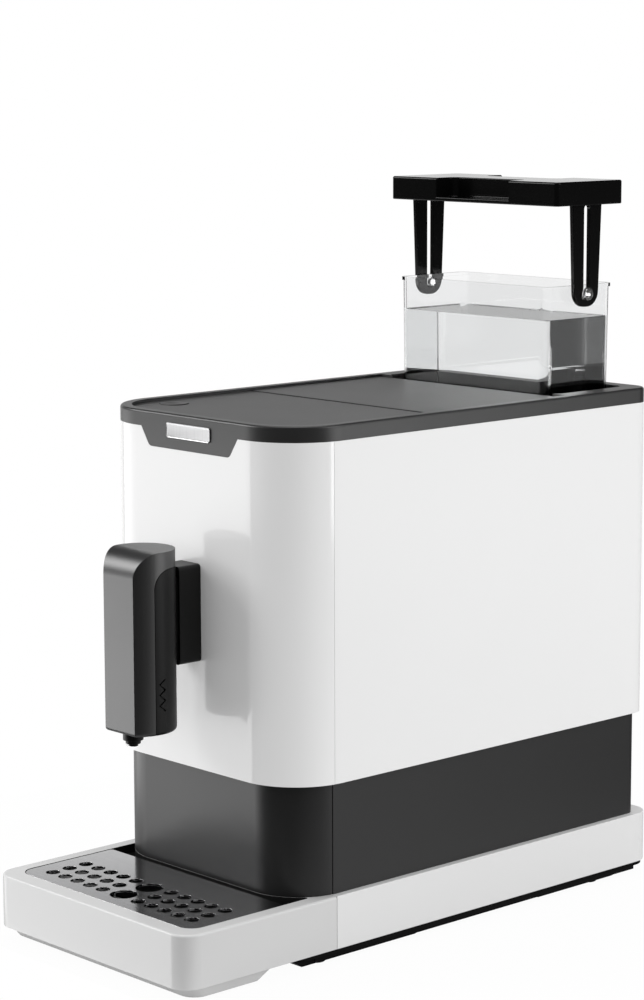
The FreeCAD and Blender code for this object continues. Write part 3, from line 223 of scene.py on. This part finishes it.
plastics = {  # grain is scale and depth
    "whiteGloss": dict(tone=0.80, rough=0.10, drift=0.03, grain=(220.0, 0.004), cloud=0.012),
    "whiteSatin": dict(tone=0.78, rough=0.34, drift=0.05, grain=(1500.0, 0.04), cloud=0.015),
    "whiteBase": dict(tone=0.72, rough=0.38, drift=0.05, grain=(1500.0, 0.05), cloud=0.015),
    "whiteTray": dict(tone=0.61, rough=0.22, drift=0.04, grain=(1500.0, 0.03), cloud=0.015),
    "greyFrame": dict(tone=(0.018, 0.018, 0.0183), rough=0.38, drift=0.06, grain=(1800.0, 0.10), cloud=0.06,
                      specular=0.88),
    "greyDeck": dict(tone=(0.040, 0.040, 0.0405), rough=0.44, drift=0.06, grain=(1800.0, 0.14), cloud=0.05,
                     specular=0.75),
    "darkBand": dict(tone=(0.012, 0.012, 0.0123), rough=0.36, drift=0.06, grain=(1600.0, 0.10), cloud=0.06,
                     specular=0.6),
    "blackSatin": dict(tone=0.004, rough=0.4, drift=0.08, grain=(1500.0, 0.1), cloud=0.1, specular=0.3),
    "blackMatt": dict(tone=0.008, rough=0.55, drift=0.1, grain=(1500.0, 0.2), cloud=0.1, specular=0.3),
    "blackGloss": dict(tone=0.002, rough=0.14, drift=0.04, grain=(300.0, 0.008), cloud=0.1, specular=0.3),
    "spoutGrey": dict(tone=(0.009, 0.009, 0.0093), rough=0.40, drift=0.05, grain=(1800.0, 0.10), cloud=0.05,
                      specular=1.0, ior=1.68),
    "spoutDark": dict(tone=0.006, rough=0.36, drift=0.06, grain=(1800.0, 0.10), cloud=0.08, specular=0.25),
    "panBlack": dict(tone=0.003, rough=0.6, drift=0.08, grain=(1500.0, 0.1), cloud=0.1, specular=0.08),
    # painted shade for the seam between tray and base
    "wellGrey": dict(tone=0.11, rough=0.45, drift=0.08, grain=(1500.0, 0.1), cloud=0.1, specular=0.4),
    "rubber": dict(tone=0.006, rough=0.75, drift=0.1, grain=(900.0, 0.3), cloud=0.1, specular=0.3),
    "nylon": dict(tone=(0.62, 0.60, 0.54), rough=0.5, drift=0.06, grain=(1200.0, 0.1), cloud=0.05),
    "smoke": dict(tone=(0.03, 0.027, 0.025), rough=0.2, drift=0.05, grain=(600.0, 0.03), cloud=0.1),
    "board": dict(tone=(0.02, 0.10, 0.045), rough=0.45, drift=0.08, grain=(700.0, 0.1), cloud=0.15),
    "motorGrey": dict(tone=(0.22, 0.22, 0.23), rough=0.42, drift=0.08, grain=(900.0, 0.1), cloud=0.08),
    "etched": dict(tone=(0.55, 0.56, 0.56), rough=0.5, drift=0.05, grain=(1200.0, 0.1), cloud=0.05),
}
metals = {
    "steel": dict(tone=(0.60, 0.60, 0.61), rough=0.12),
    "platePolish": dict(tone=(0.66, 0.66, 0.67), rough=0.07),
    "castMetal": dict(tone=(0.5, 0.5, 0.51), rough=0.4, streak=(300.0, 300.0, 300.0), depth=0.12),
    "badgeMetal": dict(tone=(0.61, 0.61, 0.614), rough=0.30, streak=(1200.0, 30.0, 30.0), depth=0.05),
}
clears = {
    "clearTank": dict(tone=(0.975, 0.978, 0.98), ior=1.46, rough=0.01),
    # painted shade: a dark tint for the tank's top edge
    "clearEdge": dict(tone=0.12, ior=1.46, rough=0.12),
    "water": dict(tone=(0.97, 0.975, 0.975), ior=1.33, rough=0.0),
}
finishes = {}
for make, table in ((mouldedPlastic, plastics), (brushedMetal, metals), (clearBody, clears)):
    for name, values in table.items():
        finishes[name] = make(name, **values)
print("finishes made:", len(finishes))


def carry(piece, node, finish):  # its finish, the body that it rides on and its slot
    piece.data.materials.clear()
    piece.data.materials.append(finishes[finish])
    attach(piece, nodes[node]["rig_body"])


skinEdge = {
    "merge": 0.00001, "flat": 0.6,  # joins the triangles into whole faces
    "segments": 3, "sharp": 30.0, "smooth": 32.0, "weight": 90,  # angles in degrees
}


def roundEdges(piece, width, segments):
    mod = piece.modifiers.new("edge", "BEVEL")
    mod.width = width
    mod.segments = segments
    mod.limit_method = "ANGLE"
    mod.angle_limit = math.radians(skinEdge["sharp"])
    mod.use_clamp_overlap = True
    bpy.ops.object.modifier_apply(modifier=mod.name)


def smoothFaces(piece):  # flat faces stay flat beside their rounded edges
    bpy.ops.object.shade_smooth_by_angle(angle=math.radians(skinEdge["smooth"]))
    mod = piece.modifiers.new("flatten", "WEIGHTED_NORMAL")
    mod.keep_sharp = True
    mod.weight = skinEdge["weight"]
    bpy.ops.object.modifier_apply(modifier=mod.name)


def dress(node, finish, edge):  # a merged copy of a solid, with its edges rounded as moulded
    pick(nodes[node])
    bpy.ops.object.duplicate()
    piece = bpy.context.object
    piece.name = node + "_skin"
    enterEdit()
    bpy.ops.mesh.select_all(action="SELECT")
    bpy.ops.mesh.customdata_custom_splitnormals_clear()
    bpy.ops.mesh.remove_doubles(threshold=skinEdge["merge"])
    bpy.ops.mesh.dissolve_limited(angle_limit=math.radians(skinEdge["flat"]))
    leaveEdit()
    roundEdges(piece, edge, skinEdge["segments"])
    smoothFaces(piece)
    del piece["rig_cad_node"]
    carry(piece, node, finish)
    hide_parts(node)
    return piece


def clearChoice(kind):  # drops what is selected, before faces or edges are chosen
    enterEdit()
    bpy.ops.mesh.select_mode(type=kind)
    bpy.ops.mesh.select_all(action="DESELECT")
    leaveEdit()


def chooseFaces(piece, chosen):  # leaves edit mode on with only the chosen faces selected
    pick(piece)
    clearChoice("FACE")
    for face in piece.data.polygons:
        face.select = chosen(face.center, face.normal)
    enterEdit()


def chooseEdges(piece, axis):  # the same for a block's edges along one axis
    clearChoice("EDGE")
    points = piece.data.vertices
    for edge in piece.data.edges:
        first, last = (points[k].co for k in edge.vertices)
        edge.select = abs(first[axis] - last[axis]) > piece.dimensions[axis] / 2
    enterEdit()


def paintFaces(piece, finish, chosen):  # a further finish on the faces that chosen picks by centre and normal
    piece.data.materials.append(finishes[finish])
    chooseFaces(piece, chosen)
    piece.active_material_index = len(piece.data.materials) - 1
    bpy.ops.object.material_slot_assign()
    leaveEdit()


def addBlock(name, low, high):  # a block between two corners, its place in its mesh
    clearSelection()
    bpy.ops.mesh.primitive_cube_add(size=1.0, location=[(p + q) / 2 for p, q in zip(low, high)])
    piece = bpy.context.object
    piece.name = name
    enterEdit()
    bpy.ops.transform.resize(value=[q - p for p, q in zip(low, high)])
    leaveEdit()
    bpy.ops.object.transform_apply(location=True, rotation=False, scale=False)
    return piece


def roundBlock(width, segments=2):  # rounds every edge of the new block
    enterEdit()
    bpy.ops.mesh.select_all(action="SELECT")
    bpy.ops.mesh.bevel(offset=width, segments=segments, affect="EDGES")
    leaveEdit()


shown = {  # finish and edge round of each visible piece, metres
    "front_shell": ("whiteGloss", 0.0006), "side_panel_left": ("whiteSatin", 0.0006),
    "side_panel_right": ("whiteSatin", 0.0006), "rear_panel": ("darkBand", 0.0004),
    "base_frame": ("whiteBase", 0.0008), "drip_tray": ("whiteTray", 0.0008),
    "lower_band": ("darkBand", 0.0005), "drawer_front": ("darkBand", 0.0005),
    "top_frame": ("greyFrame", 0.0004), "control_panel": ("greyDeck", 0.0004),
    "bean_lid": ("greyDeck", 0.0009), "power_button": ("greyDeck", 0.0006),
    "tank_lid": ("blackGloss", 0.0006), "lift_arms": ("blackGloss", 0.0004),
    "water_tank": ("clearTank", 0.0004), "spout_cover": ("spoutGrey", 0.0007),
    "spout_body": ("spoutDark", 0.0005), "spout_nozzles": ("blackSatin", 0.0003),
    "spout_bracket": ("blackSatin", 0.0015), "drip_grid": ("platePolish", 0.0004),
    "grounds_container": ("blackMatt", 0.0005), "base_pan": ("panBlack", 0.0005),
    "rubber_feet": ("rubber", 0.0003), "tank_well": ("blackMatt", 0.0004),
    "cord_gland": ("rubber", 0.0003), "rear_screws": ("steel", 0.0002),
    "base_screws": ("steel", 0.0002), "bean_hopper": ("smoke", 0.0004),
}
skins = {node: dress(node, finish, edge) for node, (finish, edge) in shown.items()}
print("visible pieces dressed:", len(shown))

plateLow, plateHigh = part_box("drip_grid")
# painted shade and painted light in the tray and at its joints
trayShadeAndLight = {
    "grow": 0.0008, "back": 0.0190, "rim": 0.0002, "facing": -0.5,  # painted shade: black around and behind its plate
    "floor": 0.02,  # painted light: a lighter white below this height, so the plate's holes show light
    "joint": 0.06, "square": 0.9,  # painted shade on the end faces that meet the base
}


def trayWellShade(centre, normal):
    wide = plateHigh.x + trayShadeAndLight["grow"]
    front = plateLow.y - trayShadeAndLight["grow"]
    back = plateHigh.y + trayShadeAndLight["back"]
    near = trayShadeAndLight["floor"] < centre.z < plateHigh.z + trayShadeAndLight["rim"]
    return abs(centre.x) < wide and front < centre.y < back and near and normal.z > trayShadeAndLight["facing"]


def litUnderPlate(centre, normal):
    below = abs(centre.x) < plateHigh.x and plateLow.y < centre.y < plateHigh.y
    return below and centre.z < trayShadeAndLight["floor"] and normal.z > trayShadeAndLight["facing"]


def trayJointShade(centre, normal):
    return normal.y > trayShadeAndLight["square"] and centre.y < plateHigh.y + trayShadeAndLight["joint"]


def baseJointShade(centre, normal):
    return normal.y < -trayShadeAndLight["square"]


# painted shade: black on the tray's walls and gutter around and behind its plate, for the dark gap at the
# band's foot
paintFaces(skins["drip_tray"], "blackMatt", trayWellShade)
# painted light: a lighter, glossier white on the basin floor under the plate, so its holes show light
paintFaces(skins["drip_tray"], "whiteGloss", litUnderPlate)
# painted shade: grey on the end faces where tray and base meet
paintFaces(skins["drip_tray"], "wellGrey", trayJointShade)
paintFaces(skins["base_frame"], "wellGrey", baseJointShade)

bandFootShade = {"height": 0.0007}  # painted shadow: the band's lowest edge is painted black, as it lies in the joint's shadow
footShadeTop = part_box("drawer_front")[0].z + bandFootShade["height"]
paintFaces(skins["drawer_front"], "blackMatt", lambda centre, normal: centre.z < footShadeTop)
print("tray well and joints darkened")

tankRimShade = {"depth": 0.0012, "facing": 0.3}  # painted shade: the tank's top edge gets a dark tint, for the darker edge it shows end on
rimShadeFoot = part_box("water_tank")[1].z - tankRimShade["depth"]
paintFaces(skins["water_tank"], "clearEdge",
           lambda centre, normal: centre.z > rimShadeFoot and normal.z > tankRimShade["facing"])

deck = {
    "pieces": ("control_panel", "bean_lid", "power_button"), "shadeSlope": 0.93,  # painted shade: steeper faces, in the joints, are painted black
    "lift": {"bean_lid": 0.0005, "power_button": 0.0004}, "facing": 0.1,  # both stand a little proud
}


def raiseTop(piece, lift):  # moves the faces near the top up
    top = max(point.co.z for point in piece.data.vertices) - 2 * lift
    chooseFaces(piece, lambda centre, normal: centre.z > top and normal.z > deck["facing"])
    bpy.ops.transform.translate(value=(0, 0, lift))
    leaveEdit()


# painted shade: the joint faces of the deck pieces are painted black
for node in deck["pieces"]:
    paintFaces(skins[node], "blackSatin", lambda centre, normal: normal.z < deck["shadeSlope"])
for node, lift in deck["lift"].items():
    raiseTop(skins[node], lift)
print("tank rim and deck joints finished")

panLip = {
    "plateFoot": 0.006,  # lower face of the pan's plate
    "wide": 0.0016, "tall": 0.0025, "inset": 0.0003, "ends": 0.014, "round": 0.0005,
}


def addPanLips():  # the pan's turned-down edge along both sides
    panLow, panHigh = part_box("base_pan")
    for name, side in (("left", -1), ("right", 1)):
        outer = side * (panHigh.x - panLip["inset"])
        inner = outer - side * panLip["wide"]
        low = (min(inner, outer), panLow.y + panLip["ends"], panLip["plateFoot"] - panLip["tall"])
        high = (max(inner, outer), panHigh.y - panLip["ends"], panLip["plateFoot"] + panLip["round"])
        piece = addBlock("pan_lip_" + name, low, high)
        roundBlock(panLip["round"])
        bpy.ops.object.shade_smooth_by_angle(angle=math.radians(skinEdge["smooth"]))
        carry(piece, "base_pan", "panBlack")


badge = {
    "corner": 0.0017, "rounds": 5, "facing": 0.95,
    "rim": 0.0009, "depth": 0.0005, "edge": 0.0002, "edgeRounds": 2,
}


def makeBadge():  # a bare plate with rounded corners and a raised rim
    piece = addBlock("badge_plate_skin", *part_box("badge_plate"))
    chooseEdges(piece, 1)
    bpy.ops.mesh.bevel(offset=badge["corner"], segments=badge["rounds"], affect="EDGES")
    leaveEdit()
    chooseFaces(piece, lambda centre, normal: normal.y < -badge["facing"])
    bpy.ops.mesh.inset(thickness=badge["rim"])
    bpy.ops.transform.translate(value=(0, badge["depth"], 0))
    leaveEdit()
    roundEdges(piece, badge["edge"], badge["edgeRounds"])
    smoothFaces(piece)
    carry(piece, "badge_plate", "badgeMetal")
    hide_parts("badge_plate")


addPanLips()
makeBadge()
print("pan lips and bare badge plate made")

waterBody = {
    "low": (-0.06164, 0.1218, 0.2372), "high": (0.06164, 0.1792, 0.366),  # laps a little into the clear wall
    "flare": 1.0344, "corner": 0.0041, "rounds": 6,  # follows the tank's draft and corners
    "lip": 0.0014, "dip": 0.0005,  # the edge that creeps up the wall
    "facing": 0.9,
}


def isSurface(centre, normal):
    return normal.z > waterBody["facing"]


def pourWater():
    piece = addBlock("tank_water", waterBody["low"], waterBody["high"])
    chooseFaces(piece, isSurface)
    bpy.ops.transform.resize(value=(waterBody["flare"], 1, 1))
    leaveEdit()
    chooseEdges(piece, 2)
    bpy.ops.mesh.bevel(offset=waterBody["corner"], segments=waterBody["rounds"], affect="EDGES")
    leaveEdit()
    chooseFaces(piece, isSurface)
    bpy.ops.mesh.inset(thickness=waterBody["lip"])
    bpy.ops.transform.translate(value=(0, 0, -waterBody["dip"]))
    leaveEdit()
    smoothFaces(piece)
    carry(piece, "water_tank", "water")


levelMark = {"low": (0.0525, 0.1197, 0.3722), "high": (0.0585, 0.1201, 0.3732), "round": 0.00015}


def addLevelMark():  # a short raised line on the tank's front wall
    piece = addBlock("tank_level_mark", levelMark["low"], levelMark["high"])
    roundBlock(levelMark["round"])
    carry(piece, "water_tank", "etched")


pourWater()
addLevelMark()
print("tank filled and marked")

inside = {
    "blackMatt": ["inner_deck", "brew_frame", "grinder_housing", "coffee_chute", "flow_meter", "brew_piston",
                  "brew_chamber", "tank_coupler"],
    "rubber": ["coupler_seal", "bean_lid_seal", "piston_seal", "pump_mounts", "cold_hoses", "hot_hoses",
               "tank_valve"],
    "steel": ["ring_burr", "cone_burr", "brew_spindle", "motor_pinion"],
    "castMetal": ["inner_posts", "heater_block"], "motorGrey": ["grinder_motor", "brew_motor", "pump"],
    "nylon": ["burr_gear", "flow_impeller", "tank_filter"], "board": ["control_board", "power_board"],
}
for finish, names in inside.items():
    for name in names:
        nodes[name].data.materials.clear()
        nodes[name].data.materials.append(finishes[finish])
print("inner pieces finished")

studio = {
    "floorSize": 4.0, "floorAt": (1.65, 1.79, 0.0),  # ends just before and left of the object, like a table
    "floorTone": 0.7, "floorGlow": 0.97,
    "ambient": (0.2, 0.7), "ambientFade": (-0.4, 0.1),  # from below and from above
    "before": (0.73, -0.68, 0.0), "fillFade": (0.2, 0.95), "fillLevels": (1.0, 1.4),  # soft fill, near corner
    "behind": (-0.73, 0.68, 0.0),  # away from the camera: the white sweep
    "room": 0.05, "sweep": 0.95, "floorSheen": 0.5,  # what polished faces see
    "floorFade": (-0.6, -0.15), "roomFade": (0.72, 0.92),  # where one turns into the other
    "floorReach": (0.05, 0.5), "floorReachLevels": (1.0, 0.35),  # the table dims towards its far end
    "topFade": (0.277, 0.301), "topLevels": (1.0, 0.1),  # the white sweep ends about 16 degrees up
    "nook": (-0.73, -0.68, 0.0), "nookFade": (0.7, 0.9),  # the one dark side that the water shows
    "lamps": {  # place, aim, size, power
        "frontPanel": ((-1.34, -0.725, -0.2), (-0.1, 0.11, -0.2), (1.65, 0.70), 9.2),
        "frontHigh": ((-1.1, -1.0, 1.0), (0, -0.1, 0.2), (1.0, 0.7), 12.2),
        "sidePanel": ((1.325, 0.745, 0.085), (0.21, 0.07, 0.085), (0.83, 0.17), 2.5),
        "right": ((1.5, 0.75, 1.1), (0, 0, 0.2), (1.0, 1.0), 8.0),
        "top": ((-0.2, 0.2, 2.2), (0, 0, 0.2), (1.4, 1.4), 14.0),
    },
}
upward, rearward = (0, 0, 1), (0, 1, 0)


def fadeAlong(tree, direction, way, fade, levels):  # a soft step along a way, between two levels
    dot = addNode(tree, "ShaderNodeVectorMath", operation="DOT_PRODUCT")
    dot.inputs[1].default_value = way
    tree.links.new(direction, dot.inputs[0])
    ramp = addNode(tree, "ShaderNodeMapRange", interpolation_type="SMOOTHSTEP")
    for socket, value in zip(("From Min", "From Max", "To Min", "To Max"), (*fade, *levels)):
        ramp.inputs[socket].default_value = value
    tree.links.new(dot.outputs["Value"], ramp.inputs["Value"])
    return ramp.outputs["Result"]


def seenStrength(tree, seen, mirrored, through):  # 1 for the camera, then what metal and glass see
    glossy = addMath(tree, "MULTIPLY", seen.outputs["Is Glossy Ray"], mirrored)
    clear = addMath(tree, "MULTIPLY", seen.outputs["Is Transmission Ray"], through)
    return addMath(tree, "MAXIMUM", seen.outputs["Is Camera Ray"], addMath(tree, "MAXIMUM", glossy, clear))


def buildFloor():
    clearSelection()
    bpy.ops.mesh.primitive_plane_add(size=studio["floorSize"], location=studio["floorAt"])
    floor = bpy.context.object
    floor.name = "floor"
    bpy.ops.object.transform_apply(location=True, rotation=False, scale=False)
    mat = bpy.data.materials.new("paleFloor")
    mat.use_nodes = True
    tree = mat.node_tree
    tree.nodes.clear()
    out = addNode(tree, "ShaderNodeOutputMaterial")
    pale = addNode(tree, "ShaderNodeBsdfDiffuse", Color=toned(studio["floorTone"]))
    glow = addNode(tree, "ShaderNodeEmission", Color=toned(1.0))
    place = addNode(tree, "ShaderNodeTexCoord").outputs["Object"]
    seen = addNode(tree, "ShaderNodeLightPath")
    sheen = (studio["room"], studio["floorSheen"])
    mirrored = fadeAlong(tree, place, studio["behind"], studio["floorFade"], sheen)
    far = fadeAlong(tree, place, rearward, studio["floorReach"], studio["floorReachLevels"])
    mirrored = addMath(tree, "MULTIPLY", mirrored, far)
    through = fadeAlong(tree, place, studio["nook"], studio["nookFade"], (studio["sweep"], studio["room"]))
    strength = seenStrength(tree, seen, mirrored, through)
    share = addMath(tree, "MULTIPLY", seen.outputs["Is Camera Ray"], studio["floorGlow"])
    polished = addMath(tree, "MAXIMUM", seen.outputs["Is Glossy Ray"], seen.outputs["Is Transmission Ray"])
    share = addMath(tree, "MAXIMUM", share, polished)
    mix = addNode(tree, "ShaderNodeMixShader")
    link = tree.links.new
    link(strength, glow.inputs["Strength"])
    link(share, mix.inputs["Fac"])
    link(pale.outputs[0], mix.inputs[1])
    link(glow.outputs[0], mix.inputs[2])
    link(mix.outputs[0], out.inputs["Surface"])
    floor.data.materials.append(mat)


def buildWorld():
    world = bpy.data.worlds.new("studio")
    world.use_nodes = True
    scene.world = world
    tree = world.node_tree
    tree.nodes.clear()
    out = addNode(tree, "ShaderNodeOutputWorld")
    room = addNode(tree, "ShaderNodeBackground", Color=toned(1.0))
    way = addNode(tree, "ShaderNodeTexCoord").outputs["Generated"]
    seen = addNode(tree, "ShaderNodeLightPath")
    dark, white = studio["room"], studio["sweep"]
    mirrored = fadeAlong(tree, way, studio["behind"], studio["roomFade"], (dark, white))
    top = fadeAlong(tree, way, upward, studio["topFade"], studio["topLevels"])
    mirrored = addMath(tree, "MULTIPLY", mirrored, top)
    through = fadeAlong(tree, way, studio["nook"], studio["nookFade"], (white, dark))
    bright = seenStrength(tree, seen, mirrored, through)
    soft = fadeAlong(tree, way, upward, studio["ambientFade"], studio["ambient"])
    fill = fadeAlong(tree, way, studio["before"], studio["fillFade"], studio["fillLevels"])
    soft = addMath(tree, "MULTIPLY", soft, fill)
    lit = addMath(tree, "MULTIPLY", seen.outputs["Is Diffuse Ray"], soft)
    tree.links.new(addMath(tree, "MAXIMUM", bright, lit), room.inputs["Strength"])
    tree.links.new(room.outputs[0], out.inputs["Surface"])


def addLamp(name, place, aim, size, power):
    lamp = bpy.data.lights.new(name, "AREA")
    lamp.shape = "RECTANGLE"
    lamp.size, lamp.size_y = size
    lamp.energy = power
    obj = bpy.data.objects.new(name, lamp)
    scene.collection.objects.link(obj)
    obj.location = place
    obj.visible_camera = False
    way = Vector(aim) - Vector(place)
    obj.rotation_euler = way.to_track_quat("-Z", "Y").to_euler()


buildFloor()
buildWorld()
for lampName, lampValues in studio["lamps"].items():
    addLamp(lampName, *lampValues)

view = {"place": (1.2564, -1.1687, 0.5275), "turn": (81.083, 0.167, 47.319), "lens": 100.81, "sensor": 36.0}
camData = bpy.data.cameras.new("photoView")
camData.lens = view["lens"]
camData.sensor_width = view["sensor"]
cam = bpy.data.objects.new("photoView", camData)
scene.collection.objects.link(cam)
cam.location = view["place"]
cam.rotation_euler = [math.radians(a) for a in view["turn"]]
scene.camera = cam
print("stage, lamps and camera set")
